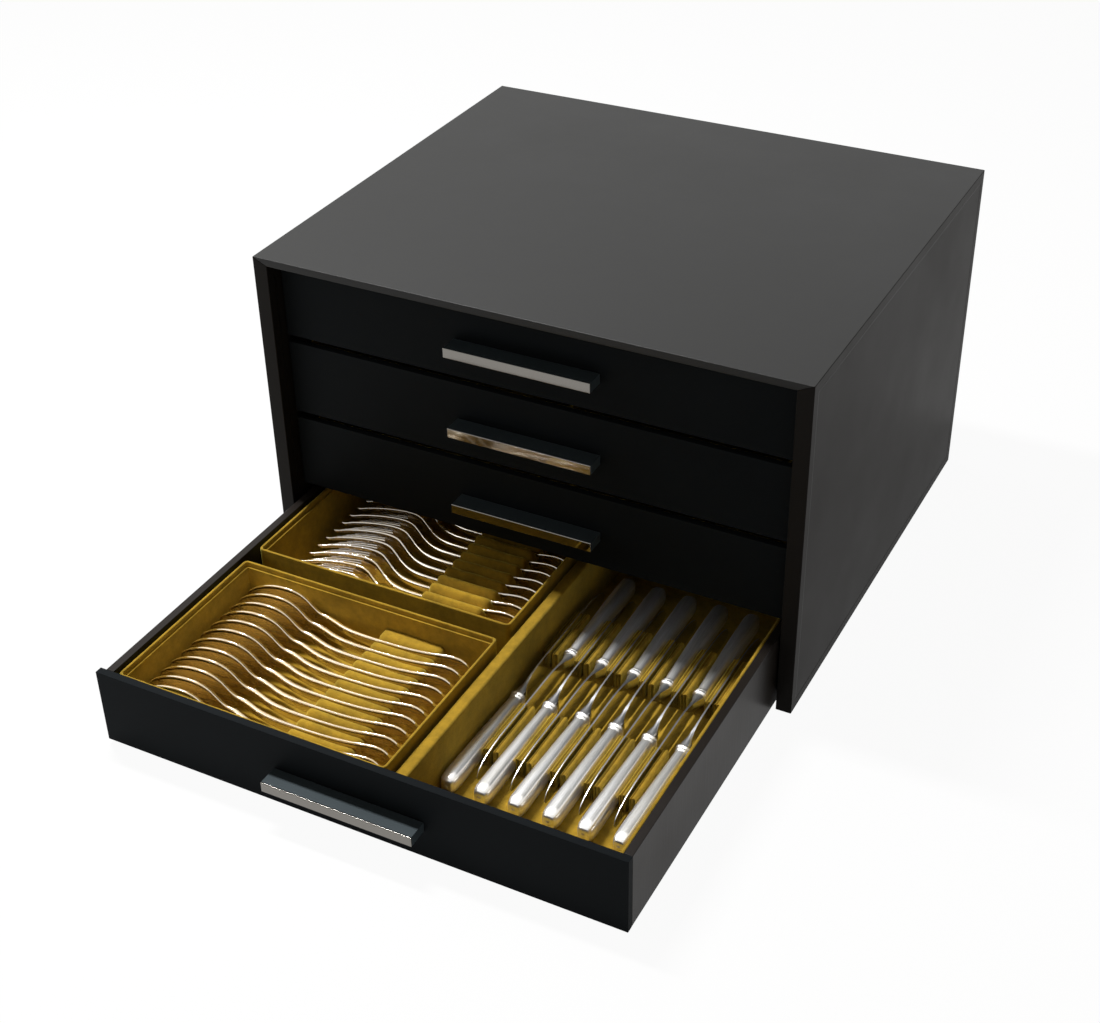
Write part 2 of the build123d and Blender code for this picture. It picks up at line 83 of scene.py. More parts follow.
class ChestCaseSettings(bpy.types.PropertyGroup):
    """Case, drawers and pulls."""

    wrap_colour: colour_property("Wrap", "Grained sheet on the drawer fronts", "16191b")
    lid_colour: colour_property("Lid", "Sheet on the top board", "161615")
    side_colour: colour_property("Sides", "Sheet on the case sides", "1d1b19")
    box_colour: colour_property("Drawer sides", "Smooth sheet on the drawer boxes", "211d1a")
    pull_colour: colour_property("Pulls", "Grained sheet on the pulls", "384145")
    edge_radius: length_property("Edge radius", "Rounding of wrapped edges", 0.5 * mm)
    seam_inset: length_property("Seam inset", "Turned-in border of the case sides", 8.5 * mm)
    strip_colour: colour_property("Strip", "Polished strip on the pulls", "7d7a75")


class ChestVelvetSettings(bpy.types.PropertyGroup):
    """Velvet trays and racks."""

    velvet_colour: colour_property("Velvet", "Pile seen along its lay", "a38025")
    velvet_sheen: colour_property("Sheen", "Light caught on the pile's tips", "dcd870")
    rim_radius: length_property("Rim radius", "Rounding of the velvet rims", 1.0 * mm)
    pile_size: length_property("Pile", "Size of the pile's fine mottling", 0.5 * mm)


class ChestSilverSettings(bpy.types.PropertyGroup):
    """Spoons, forks and knives."""

    silver_colour: colour_property("Silver", "Polished silver plate", "ece8e1")
    # warm tarnish that also paints in the gold velvet's reflection on the spoons and forks
    tarnish_and_reflection_colour: colour_property("Tarnish", "Warm film on spoons and forks", "d6ac4c")
    blade_colour: colour_property("Blades", "Polished stainless steel", "d2d2d3")
    settings_count: IntProperty(name="Place settings", description="Spoons and forks", default=12,
                                min=1)
    knives_per_row: IntProperty(name="Knives per row", description="Knives in each row", default=6,
                                min=1)
    spoon_pitch: length_property("Spoon spacing", "From spoon to spoon", 12.2 * mm)
    fork_pitch: length_property("Fork spacing", "From fork to fork", 12.0 * mm)
    knife_pitch: length_property("Knife spacing", "From knife to knife in a row", 26.6 * mm)


class ChestStageSettings(bpy.types.PropertyGroup):
    """Floor, lamps and camera."""

    floor_colour: colour_property("Floor", "Plain pale floor", "f4f4f4")
    key_power: power_property("Key lamp", "Overhead strip lamp", 34.0)
    side_power: power_property("Side lamp", "Soft lamp on the left", 3.5)
    back_power: power_property("Back lamp", "Soft lamp behind", 3.0)


# ---- helpers ----------------------------------------------------------
def add_node(tree, kind, settings=None, links=None):
    """Adds a node; settings go to its properties or sockets, links to its inputs."""
    made = tree.nodes.new(kind)
    for key, value in (settings or {}).items():
        if isinstance(key, str) and hasattr(made, key):
            setattr(made, key, value)
        else:
            made.inputs[key].default_value = value
    for key, source in (links or {}).items():
        tree.links.new(source, made.inputs[key])
    return made


def new_material(name):
    """A node material with its surface shader."""
    material = bpy.data.materials.new(name)
    material.use_nodes = True
    tree = material.node_tree
    tree.nodes.clear()
    surface = add_node(tree, "ShaderNodeBsdfPrincipled")
    add_node(tree, "ShaderNodeOutputMaterial", links={"Surface": surface.outputs[0]})
    return material, tree, surface


def show(tree, shader):
    """Makes a shader the one that the material's output shows."""
    output = next(n for n in tree.nodes if n.type == "OUTPUT_MATERIAL")
    tree.links.new(shader.outputs[0], output.inputs["Surface"])


def opaque(colour):
    """A colour with full alpha."""
    return (*colour, 1.0)


def shaded(colour, factor):
    """A lighter or darker version of a colour."""
    return (*(min(1.0, part * factor) for part in colour), 1.0)


def finish_piece(bm, name, body, materials, nodes, sharp, weighted=False):
    """Turns a bmesh into a piece that rides on a body and stands for CAD nodes.
    Edges over sharp degrees stay sharp in the shading."""
    for face in bm.faces:
        face.smooth = True
    mesh = bpy.data.meshes.new(name)
    bm.to_mesh(mesh)
    bm.free()
    mesh.set_sharp_from_angle(angle=radians(sharp))
    for material in materials:
        mesh.materials.append(material)
    piece = bpy.data.objects.new(name, mesh)
    bpy.context.scene.collection.objects.link(piece)
    if weighted:
        modifier = piece.modifiers.new("even shading", "WEIGHTED_NORMAL")
        modifier.keep_sharp = True
    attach(piece, body)
    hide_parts(*nodes)


def dress(node_name, material):
    """Gives a CAD node that stays in view its material."""
    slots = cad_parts[node_name].data.materials
    slots.clear()
    slots.append(material)


def read_solid(node_name):
    """A clean copy of a CAD node's mesh: doubles merged and flat facets joined."""
    bm = bmesh.new()
    bm.from_mesh(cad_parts[node_name].data)
    bmesh.ops.remove_doubles(bm, verts=bm.verts, dist=1e-6)
    bmesh.ops.dissolve_limit(bm, angle_limit=radians(0.5), verts=bm.verts, edges=bm.edges)
    return bm


def ease_edges(bm, edges, radius, segments):
    """Rounds edges."""
    bmesh.ops.bevel(bm, geom=edges, offset=radius, offset_type="OFFSET", segments=segments,
                    profile=0.5, affect="EDGES", clamp_overlap=True, material=-1)


def sharp_edges(bm, angle):
    """Edges whose faces meet at more than an angle in degrees."""
    return [e for e in bm.edges if e.is_manifold and e.calc_face_angle(0.0) > radians(angle)]


def eased_board(node_name, name, body, material, radius):
    """A board like its CAD node with its edges rounded."""
    bm = read_solid(node_name)
    ease_edges(bm, sharp_edges(bm, 30), radius, segments=2)
    finish_piece(bm, name, body, [material], [node_name], sharp=60, weighted=True)


def smooth_read(stations, at):
    """Value of a station list at a place, along a smooth line without overshoot."""
    if at <= stations[0][0]:
        return stations[0][1]
    if at >= stations[-1][0]:
        return stations[-1][1]
    last = len(stations) - 1
    n = max(k for k in range(last) if stations[k][0] <= at)

    def step(k):
        (x0, y0), (x1, y1) = stations[k], stations[k + 1]
        return x1 - x0, (y1 - y0) / (x1 - x0)

    def slope(k):
        if k == 0:
            return 0.0
        if k == last:
            return step(k - 1)[1]
        (near, before), (far, after) = step(k - 1), step(k)
        if before * after <= 0:
            return 0.0
        mean = (before * far + after * near) / (near + far)
        limit = 3 * min(abs(before), abs(after))
        return max(-limit, min(limit, mean))

    (x0, y0), (x1, y1) = stations[n], stations[n + 1]
    span = x1 - x0
    t = (at - x0) / span
    return (y0 * (1 + 2 * t) * (1 - t) ** 2 + slope(n) * span * t * (1 - t) ** 2
            + y1 * t * t * (3 - 2 * t) + slope(n + 1) * span * t * t * (t - 1))


def power(value, exponent):
    """A signed power, for squarish rounds."""
    return (1 if value >= 0 else -1) * abs(value) ** exponent


def open_edges(verts):
    """The open edges at some vertices, each once and in the same order on every run."""
    edges = dict.fromkeys(e for v in verts for e in v.link_edges)
    return [e for e in edges if e.is_boundary]


def tube(bm, along, around, place):
    """A closed tube: a grid moved by place(share along, share around), seam and ends closed."""
    made = bmesh.ops.create_grid(bm, x_segments=along, y_segments=around, size=0.5)["verts"]
    for vert in made:
        vert.co = place(vert.co.x + 0.5, vert.co.y + 0.5)
    bmesh.ops.remove_doubles(bm, verts=made, dist=1e-6)
    rest = [v for v in made if v.is_valid]
    bmesh.ops.holes_fill(bm, edges=open_edges(rest), sides=0)


def gathered(share):
    """A share of a way whose steps are gathered at both ends."""
    return 0.5 - 0.5 * cos(pi * share)


def close_normals(bm):
    """Points the faces of closed shells outwards."""
    bmesh.ops.recalc_face_normals(bm, faces=bm.faces)


# ---- materials --------------------------------------------------------
def wrapped_board(name, colour, roughness, specular, grain, seam=None, streak=0.0):
    """Fibreboard wrapped in grained vinyl: calendered sheet, low sheen, faint
    cloudiness from handling.  seam=(y half, z low, z high) draws the turned-in border;
    streak is the depth of the sheet's upright wood grain."""
    material, tree, surface = new_material(name)
    place = add_node(tree, "ShaderNodeTexCoord")
    # cloudy handling marks, some 60 mm wide
    cloud = add_node(tree, "ShaderNodeTexNoise", {"Scale": 16.0, "Detail": 5.0, "Roughness": 0.6},
                     {"Vector": place.outputs["Object"]})
    # leatherette grain of about 0.7 mm
    pebble = add_node(tree, "ShaderNodeTexVoronoi", {"Scale": 1 / (0.7 * mm)},
                      {"Vector": place.outputs["Object"]})
    # specks of grey dust
    dust = add_node(tree, "ShaderNodeTexNoise", {"Scale": 900.0, "Detail": 2.0},
                    {"Vector": place.outputs["Object"]})
    specks = add_node(tree, "ShaderNodeMapRange",
                      {"From Min": 0.74, "From Max": 0.82, "To Min": 0.0, "To Max": 0.05},
                      {"Value": dust.outputs["Fac"]})
    tone = add_node(tree, "ShaderNodeMix", {"data_type": "RGBA", "A": shaded(colour, 0.85),
                                            "B": shaded(colour, 1.2)})
    tree.links.new(cloud.outputs["Fac"], tone.inputs["Factor"])
    dusty = add_node(tree, "ShaderNodeMix", {"data_type": "RGBA", "B": opaque(srgb("8a8a88"))},
                     {"Factor": specks.outputs[0]})
    tree.links.new(tone.outputs["Result"], dusty.inputs["A"])
    gloss = add_node(tree, "ShaderNodeMapRange",
                     {"To Min": roughness - 0.05, "To Max": roughness + 0.07},
                     {"Value": cloud.outputs["Fac"]})
    grain_bump = add_node(tree, "ShaderNodeBump", {"Strength": grain, "Distance": 0.06 * mm},
                          {"Height": pebble.outputs["Distance"]})
    if seam:
        y_half, z_low, z_high = seam
        split = add_node(tree, "ShaderNodeSeparateXYZ", links={"Vector": place.outputs["Object"]})
        across = add_node(tree, "ShaderNodeMath", {"operation": "ABSOLUTE"}, {0: split.outputs["Y"]})
        y_side = add_node(tree, "ShaderNodeMath", {"operation": "SUBTRACT", 1: y_half},
                          {0: across.outputs[0]})
        centred = add_node(tree, "ShaderNodeMath", {"operation": "SUBTRACT", 1: (z_low + z_high) / 2},
                           {0: split.outputs["Z"]})
        up = add_node(tree, "ShaderNodeMath", {"operation": "ABSOLUTE"}, {0: centred.outputs[0]})
        z_side = add_node(tree, "ShaderNodeMath", {"operation": "SUBTRACT", 1: (z_high - z_low) / 2},
                          {0: up.outputs[0]})
        border = add_node(tree, "ShaderNodeMath", {"operation": "MAXIMUM"},
                          {0: y_side.outputs[0], 1: z_side.outputs[0]})
        step = add_node(tree, "ShaderNodeMapRange",
                        {"From Min": -0.5 * mm, "From Max": 0.5 * mm, "To Min": 0.0, "To Max": 1.0},
                        {"Value": border.outputs[0]})
        step_bump = add_node(tree, "ShaderNodeBump", {"Strength": 1.0, "Distance": 0.35 * mm},
                             {"Height": step.outputs[0]})
        tree.links.new(step_bump.outputs[0], grain_bump.inputs["Normal"])
    surface.inputs["Specular IOR Level"].default_value = specular
    tree.links.new(dusty.outputs["Result"], surface.inputs["Base Color"])
    tree.links.new(gloss.outputs[0], surface.inputs["Roughness"])
    if streak:
        # upright grain lines some 1.5 mm apart
        drawn = add_node(tree, "ShaderNodeMapping", {"Scale": (1.0, 1.0, 0.06)},
                         {"Vector": place.outputs["Object"]})
        lines = add_node(tree, "ShaderNodeTexNoise", {"Scale": 420.0, "Detail": 3.0, "Distortion": 0.3},
                         {"Vector": drawn.outputs[0]})
        grain_bump = add_node(tree, "ShaderNodeBump", {"Strength": streak, "Distance": 0.25 * mm},
                              {"Height": lines.outputs["Fac"], "Normal": grain_bump.outputs[0]})
    tree.links.new(grain_bump.outputs[0], surface.inputs["Normal"])
    return material


def cotton_velvet(name, colour, sheen, pile):
    """Cut cotton velvet glued over card: matt, darker into the pile, brushed
    patches and a light rim where the tips catch the light."""
    material, tree, surface = new_material(name)
    place = add_node(tree, "ShaderNodeTexCoord")
    # brushed patches some 25 mm wide, crushed spots of 5 mm, and the tufts
    patches = add_node(tree, "ShaderNodeTexNoise",
                       {"Scale": 38.0, "Detail": 3.0, "Roughness": 0.6, "Distortion": 0.4},
                       {"Vector": place.outputs["Object"]})
    spots = add_node(tree, "ShaderNodeTexNoise", {"Scale": 190.0, "Detail": 4.0, "Roughness": 0.7},
                     {"Vector": place.outputs["Object"]})
    tufts = add_node(tree, "ShaderNodeTexNoise", {"Scale": 1 / pile, "Detail": 3.0, "Roughness": 0.7},
                     {"Vector": place.outputs["Object"]})
    large = add_node(tree, "ShaderNodeMath", {"operation": "MULTIPLY_ADD", 1: 0.8},
                     {0: spots.outputs["Fac"], 2: patches.outputs["Fac"]})
    both = add_node(tree, "ShaderNodeMath", {"operation": "MULTIPLY_ADD", 1: 0.4},
                    {0: tufts.outputs["Fac"], 2: large.outputs[0]})
    lay = add_node(tree, "ShaderNodeMapRange", {"From Min": 0.85, "From Max": 1.35},
                   {"Value": both.outputs[0]})
    ramp = add_node(tree, "ShaderNodeValToRGB", links={"Fac": lay.outputs[0]})
    ramp.color_ramp.elements[0].color = shaded(colour, 0.68)
    ramp.color_ramp.elements[1].color = shaded(colour, 1.25)
    bump = add_node(tree, "ShaderNodeBump", {"Strength": 0.5, "Distance": 0.3 * mm},
                    {"Height": tufts.outputs["Fac"]})
    tree.links.new(ramp.outputs["Color"], surface.inputs["Base Color"])
    tree.links.new(bump.outputs[0], surface.inputs["Normal"])
    surface.inputs["Roughness"].default_value = 0.95
    surface.inputs["Specular IOR Level"].default_value = 0.15
    surface.inputs["Sheen Weight"].default_value = 1.0
    surface.inputs["Sheen Roughness"].default_value = 0.5
    surface.inputs["Sheen Tint"].default_value = opaque(sheen)
    return material


def polished_metal(name, colour, roughness, scratch, stretch=(1.0, 1.0, 1.0), worn=0.0,
                   haze_tint=None, deep=0.9, spread=0.5, bare=0.25):
    """Buffed metal: mirror-like, with hair lines left by wiping.  The worn share of it
    is a haze of fine scratches that spreads the light, coloured by the haze tint, which on
    spoons and forks is warm tarnish with a painted reflection of the gold velvet: deep is
    how dark its bands go, spread its roughness and bare how metallic it stays."""
    material, tree, surface = new_material(name)
    place = add_node(tree, "ShaderNodeTexCoord")
    turned = add_node(tree, "ShaderNodeMapping", {"Scale": stretch},
                      {"Vector": place.outputs["Object"]})
    # hair lines 1 mm wide, coarser than real ones so that they show, and smears of 17 mm
    hairs = add_node(tree, "ShaderNodeTexNoise", {"Scale": 900.0, "Detail": 3.0, "Roughness": 0.7},
                     {"Vector": turned.outputs[0]})
    smears = add_node(tree, "ShaderNodeTexNoise", {"Scale": 60.0, "Detail": 3.0},
                      {"Vector": place.outputs["Object"]})
    gloss = add_node(tree, "ShaderNodeMapRange",
                     {"To Min": max(0.02, roughness - 0.04), "To Max": roughness + 0.05},
                     {"Value": smears.outputs["Fac"]})
    tone = add_node(tree, "ShaderNodeMix", {"data_type": "RGBA", "A": shaded(colour, 0.93),
                                            "B": opaque(colour)}, {"Factor": smears.outputs["Fac"]})
    bump = add_node(tree, "ShaderNodeBump", {"Strength": scratch, "Distance": 0.02 * mm},
                    {"Height": hairs.outputs["Fac"]})
    surface.inputs["Metallic"].default_value = 1.0
    tree.links.new(tone.outputs["Result"], surface.inputs["Base Color"])
    tree.links.new(gloss.outputs[0], surface.inputs["Roughness"])
    tree.links.new(bump.outputs[0], surface.inputs["Normal"])
    if worn:
        # lighter and darker bands some 4 mm wide, drawn out along the piece; on spoons and forks they
        # are painted streaks of reflection over the tarnish
        bands = add_node(tree, "ShaderNodeTexNoise", {"Scale": 240.0, "Detail": 2.0},
                         {"Vector": turned.outputs[0]})
        depth = add_node(tree, "ShaderNodeMapRange", {"From Min": 0.35, "From Max": 0.65},
                         {"Value": bands.outputs["Fac"]})
        warm = add_node(tree, "ShaderNodeMix", {"data_type": "RGBA", "A": shaded(haze_tint, deep),
                                                "B": shaded(haze_tint, 1.15)},
                        {"Factor": depth.outputs[0]})
        haze = add_node(tree, "ShaderNodeBsdfPrincipled", {"Metallic": bare, "Roughness": spread},
                        {"Base Color": warm.outputs["Result"], "Normal": bump.outputs[0]})
        share = add_node(tree, "ShaderNodeMapRange",
                         {"From Min": 0.3, "From Max": 0.7,
                          "To Min": worn * 0.85, "To Max": worn * 1.15},
                         {"Value": hairs.outputs["Fac"]})
        show(tree, add_node(tree, "ShaderNodeMixShader", links={
            0: share.outputs[0], 1: surface.outputs[0], 2: haze.outputs[0]}))
    return material


# ---- operators --------------------------------------------------------
class CHEST_OT_case(bpy.types.Operator):
    """Wraps the case's boards: bare lid, mitred sides, back and shelves."""

    bl_idname = "chest.case"
    bl_label = "Case boards"

    def execute(self, context):
        set_up = context.scene.chest_case
        low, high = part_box("right_panel")
        inset = set_up.seam_inset
        lid = wrapped_board("satin vinyl lid", set_up.lid_colour, roughness=0.42, specular=0.24,
                            grain=0.25)
        flank = wrapped_board("satin vinyl sides with turned-in border", set_up.side_colour,
                              roughness=0.4, specular=0.045, grain=0.3,
                              seam=(high[1] - inset, low[2] + inset, high[2] - inset))
        inside = wrapped_board("matt vinyl shelves and back", set_up.box_colour, roughness=0.6,
                               specular=0.3, grain=0.2)
        radius = set_up.edge_radius
        eased_board("top_panel", "lid_board", "case", lid, radius)
        eased_board("left_panel", "left_case_side", "case", flank, radius)
        eased_board("right_panel", "right_case_side", "case", flank, radius)
        eased_board("back_panel", "case_back", "case", inside, radius)
        for shelf in ("base_panel", "low_shelf", "middle_shelf", "high_shelf"):
            dress(shelf, inside)
        return {"FINISHED"}


class CHEST_OT_drawers(bpy.types.Operator):
    """Wraps the drawer fronts and boxes and dresses the pulls."""

    bl_idname = "chest.drawers"
    bl_label = "Drawers and pulls"

    def execute(self, context):
        set_up = context.scene.chest_case
        face = wrapped_board("grained black vinyl fronts", set_up.wrap_colour, roughness=0.5,
                             specular=0.02, grain=0.6)
        boxes = wrapped_board("smooth dark drawer sides", set_up.box_colour, roughness=0.34,
                              specular=0.11, grain=0.15, streak=0.25)
        bar = wrapped_board("grained blue-black pull wrap", set_up.pull_colour, roughness=0.45,
                            specular=0.12, grain=1.0)
        chrome = polished_metal("polished chrome strip", set_up.strip_colour, roughness=0.06,
                                scratch=0.15, stretch=(0.05, 1.0, 1.0))
        steel = polished_metal("plain steel screws", srgb("9b9c9e"), roughness=0.3, scratch=0.5)
        radius = set_up.edge_radius
        for drawer in drawers:
            body = drawer + "_drawer"
            eased_board(drawer + "_front", drawer + "_wrapped_front", body, face, radius)
            for side in ("left", "right"):
                eased_board(f"{drawer}_{side}_side", f"{drawer}_{side}_box_side", body,
                            boxes, radius)
            for part in ("floor", "back"):
                dress(f"{drawer}_{part}", boxes)
            dress(drawer + "_pull_screws", steel)
            eased_board(drawer + "_pull_bar", drawer + "_wrapped_pull", body, bar,
                        radius=0.4 * mm)
            eased_board(drawer + "_pull_strip", drawer + "_chrome_strip", body, chrome,
                        radius=0.15 * mm)
        return {"FINISHED"}


def velvet_material(context):
    """The one velvet that all trays and racks share."""
    made = bpy.data.materials.get("cut cotton velvet")
    if made:
        return made
    set_up = context.scene.chest_velvet
    return cotton_velvet("cut cotton velvet", set_up.velvet_colour, set_up.velvet_sheen,
                         set_up.pile_size)


def velvet_tray(node_name, name, body, material, wall, floor, corner, rim):
    """An open tray: a block with rounded corners, hollowed from the top, its rim rounded."""
    low, high = (Vector(point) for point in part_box(node_name))
    bm = bmesh.new()
    bmesh.ops.create_cube(bm, size=1.0)
    bmesh.ops.scale(bm, vec=high - low, verts=bm.verts)
    bmesh.ops.translate(bm, vec=(high + low) / 2, verts=bm.verts)
    upright = [e for e in bm.edges
               if abs(e.verts[0].co.z - e.verts[1].co.z) > (high.z - low.z) / 2]
    ease_edges(bm, upright, corner, segments=6)
    tops = [f for f in bm.faces if f.normal.z > 0.9]
    bmesh.ops.inset_individual(bm, faces=tops, thickness=wall, use_even_offset=True)
    pushed = bmesh.ops.extrude_discrete_faces(bm, faces=tops)["faces"]
    hollow = {v for f in pushed for v in f.verts}
    bmesh.ops.translate(bm, verts=list(hollow), vec=(0, 0, low.z + floor - high.z))
    rims = [e for e in bm.edges if all(abs(v.co.z - high.z) < 1e-5 for v in e.verts)
            and any(f.normal.z < 0.9 for f in e.link_faces)]
    ease_edges(bm, rims, rim, segments=3)
    close_normals(bm)
    finish_piece(bm, name, body, [material], [node_name], sharp=50, weighted=True)


class CHEST_OT_trays(bpy.types.Operator):
    """Makes the velvet trays, their linings and the knife tray."""

    bl_idname = "chest.trays"
    bl_label = "Velvet trays"

    def execute(self, context):
        velvet = velvet_material(context)
        rim = context.scene.chest_velvet.rim_radius
        for kind in ("spoon", "fork"):
            velvet_tray(kind + "_tray", kind + "_velvet_tray", "bottom_drawer", velvet,
                        wall=2.0 * mm, floor=8.0 * mm, corner=4.0 * mm, rim=0.9 * rim)
            eased_board(kind + "_tray_lining", kind + "_velvet_lining", "bottom_drawer",
                        velvet, 0.55 * rim)
        eased_board("knife_tray", "knife_velvet_tray", "bottom_drawer", velvet, 0.8 * rim)
        for drawer in drawers[1:]:
            eased_board(drawer + "_tray", drawer + "_velvet_tray", drawer + "_drawer", velvet,
                        0.7 * rim)
        return {"FINISHED"}


# Side views in millimetres: distance from the tip and rise behind the line of
# the handle, then half the width, the bowl's depth and the metal's thickness.
spoon_rise = [(0, 5.6), (9, 4.6), (22, 4.0), (38, 4.2), (50, 5.4), (59, 7.2), (66, 9.0), (72, 9.2),
              (79, 7.6), (87, 5.0), (96, 2.8), (108, 1.2), (124, 0.3), (150, 0.0), (171, 0.6),
              (184, 2.4), (194, 3.6), (201.7, 3.2)]
spoon_half = [(0, 1.0), (1.5, 5.0), (5, 9.4), (9, 12.6), (15, 16.4), (22, 19.6), (30, 21.8),
              (38, 22.5), (45, 22.0), (51, 19.8), (56, 16.0), (60, 11.2), (63, 7.0), (66, 4.5),
              (70, 3.9), (79, 3.6), (90, 3.6), (108, 4.2), (124, 4.9), (150, 6.2), (166, 7.8),
              (178, 8.9), (185, 9.1), (191, 8.6), (196, 7.2), (199.5, 5.0), (201.2, 2.9), (201.7, 1.6)]
spoon_depth = [(0, 0.3), (5, 2.9), (12, 4.9), (22, 6.4), (36, 7.0), (48, 6.2), (56, 4.4), (63, 1.8),
               (68, 0.3), (72, 0.0)]
spoon_thick = [(0, 2.0), (20, 2.8), (60, 3.0), (72, 3.4), (82, 3.8), (100, 3.3), (125, 2.8), (160, 2.5),
               (201.7, 2.0)]
fork_rise = [(0, 2.0), (10, 6.0), (22, 10.4), (34, 13.0), (45, 14.0), (54, 13.8), (62, 11.6),
             (70, 8.0), (78, 4.6), (87, 2.2), (98, 0.8), (114, 0.0), (142, 0.0), (160, 0.4),
             (174, 2.4), (185, 3.6), (193, 3.2)]
fork_half = [(0, 10.6), (10, 11.4), (22, 12.0), (34, 12.5), (45, 12.8), (51, 12.4), (56, 10.8),
             (61, 7.6), (66, 4.9), (72, 3.6), (78, 3.2), (87, 3.4), (98, 3.9), (114, 4.6), (142, 6.0),
             (158, 7.6), (170, 8.8), (177, 9.1), (183, 8.5), (188, 6.9), (191.2, 4.6), (192.5, 2.7),
             (193, 1.5)]
fork_thick = [(0, 1.4), (20, 1.9), (45, 2.2), (62, 2.6), (72, 3.5), (84, 3.6), (100, 3.1), (130, 2.5),
              (160, 2.2), (193, 1.8)]
tine_wide = [(0, 0.5), (1.2, 1.1), (4, 1.45), (20, 1.8), (45, 2.2)]
tines = 4
tine_root = 42.0
tine_overlap = 3.0      # of a tine into the fork's shoulder
handle_line = 1.0       # behind the near face of the row
rim_share = 0.3         # of a half section's points, on its rounded rim


def iron_ring(rise, half, depth, thick, around):
    """A point of a spoon's or fork's section, a bent sheet with rounded rims:
    y behind the handle's line, z across."""
    edge = min(thick / 2, half * 0.9)
    flat = half - edge
    flip = 1 if around < 0.5 else -1
    share = (around * 2) % 1.0
    if share < rim_share:
        turn = (share / rim_share - 0.5) * pi
        y, z = edge * sin(turn), flat + edge * cos(turn)
    else:
        y, z = edge, flat * (1 - 2 * (share - rim_share) / (1 - rim_share))
    return rise + handle_line + depth * (1 - (z / half) ** 2) + flip * y, flip * z


class CHEST_OT_spoons(bpy.types.Operator):
    """Makes the table spoons, on edge with their bowls open to the front."""

    bl_idname = "chest.spoons"
    bl_label = "Spoons"

    def execute(self, context):
        set_up = context.scene.chest_silver
        low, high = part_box("spoons")
        middle = (low[2] + high[2]) / 2
        length = spoon_rise[-1][0]
        bm = bmesh.new()
        for n in range(set_up.settings_count):
            first = low[1] + n * set_up.spoon_pitch

            def place(along, around, first=first):
                at = length * gathered(along)
                y, z = iron_ring(smooth_read(spoon_rise, at), smooth_read(spoon_half, at),
                                 smooth_read(spoon_depth, at), smooth_read(spoon_thick, at), around)
                return Vector((low[0] + at * mm, first + y * mm, middle + z * mm))

            tube(bm, along=110, around=40, place=place)
        close_normals(bm)
        silver = silver_material(context)
        finish_piece(bm, "table_spoons", "bottom_drawer", [silver], ["spoons"], sharp=80)
        return {"FINISHED"}


class CHEST_OT_forks(bpy.types.Operator):
    """Makes the table forks, with four tapered tines each."""

    bl_idname = "chest.forks"
    bl_label = "Forks"

    def execute(self, context):
        set_up = context.scene.chest_silver
        low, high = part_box("forks")
        middle = (low[2] + high[2]) / 2
        length = fork_rise[-1][0]
        half_way = (tines - 1) / 2
        bm = bmesh.new()
        for n in range(set_up.settings_count):
            first = low[1] + n * set_up.fork_pitch

            def stem(along, around, first=first):
                at = tine_root + (length - tine_root) * sin(pi / 2 * along)
                y, z = iron_ring(smooth_read(fork_rise, at), smooth_read(fork_half, at), 0.0,
                                 smooth_read(fork_thick, at), around)
                return Vector((low[0] + at * mm, first + y * mm, middle + z * mm))

            tube(bm, along=80, around=20, place=stem)
            for tine in range(tines):

                def prong(along, around, first=first, tine=tine):
                    at = (tine_root + tine_overlap) * (1 - along)
                    wide = smooth_read(tine_wide, at)
                    centre = (tine - half_way) / half_way * (smooth_read(fork_half, at) - wide)
                    y, z = iron_ring(smooth_read(fork_rise, at), wide, 0.0,
                                     smooth_read(fork_thick, at), around)
                    return Vector((low[0] + at * mm, first + y * mm, middle + (centre + z) * mm))

                tube(bm, along=24, around=20, place=prong)
        close_normals(bm)
        silver = silver_material(context)
        finish_piece(bm, "table_forks", "bottom_drawer", [silver], ["forks"], sharp=80)
        return {"FINISHED"}


def silver_material(context):
    """The silver plate that spoons and forks share."""
    made = bpy.data.materials.get("buffed silver plate with tarnish and painted reflection")
    if made:
        return made
    set_up = context.scene.chest_silver
    # the haze is warm tarnish with a painted reflection of the gold velvet, in painted dark and light
    # bands
    return polished_metal("buffed silver plate with tarnish and painted reflection", set_up.silver_colour, roughness=0.1, scratch=0.05,
                          stretch=(0.06, 1.0, 1.0), worn=0.4, haze_tint=set_up.tarnish_and_reflection_colour,
                          deep=0.75, spread=0.36)


# Knife sections in millimetres: distance and half width, half depth or height.
handle_wide = [(0, 1.5), (0.6, 3.6), (2, 5.0), (5, 6.1), (10, 6.5), (22, 6.45), (60, 5.7), (96, 4.75),
               (101.5, 4.6), (102.3, 5.2), (103.2, 5.2), (103.8, 4.7), (104.4, 5.4), (105.4, 5.9),
               (106.6, 5.7), (107.5, 4.6)]
handle_deep = [(0, 1.8), (0.6, 4.4), (2, 6.2), (5, 7.4), (10, 7.8), (22, 7.7), (60, 7.0), (96, 5.9),
               (101.5, 5.7), (102.3, 6.3), (103.2, 6.3), (103.8, 5.8), (104.4, 6.4), (105.4, 6.9),
               (106.6, 6.7), (107.5, 5.8)]
bolster_wide = [(0, 4.4), (1.2, 5.1), (3, 4.9), (5.5, 3.8), (9, 2.3), (13, 1.5), (18, 1.0), (26, 0.75),
                (100, 0.55), (130, 0.35), (143.5, 0.25)]
spine_line = [(0, 5.8), (8, 6.2), (14, 6.9), (20, 7.9), (28, 8.8), (40, 9.2), (100, 9.2), (116, 8.6),
              (128, 6.9), (137, 4.0), (142, 0.5), (143.5, -2.6)]
edge_line = [(0, -5.6), (4, -5.9), (12, -5.7), (18, -6.0), (23, -7.0), (29, -7.8), (132, -7.8),
             (138, -7.2), (142, -5.6), (143.5, -3.4)]
handle_length = handle_wide[-1][0]
blade_length = spine_line[-1][0]
handle_half = 6.5 * mm  # at its widest
handle_square = 0.66    # 1 gives a round section, less a squarer one
neck_square = 0.8
neck_end = 3.0          # of the blade, where its wedge begins
neck_fade = 12.0        # over which it is reached


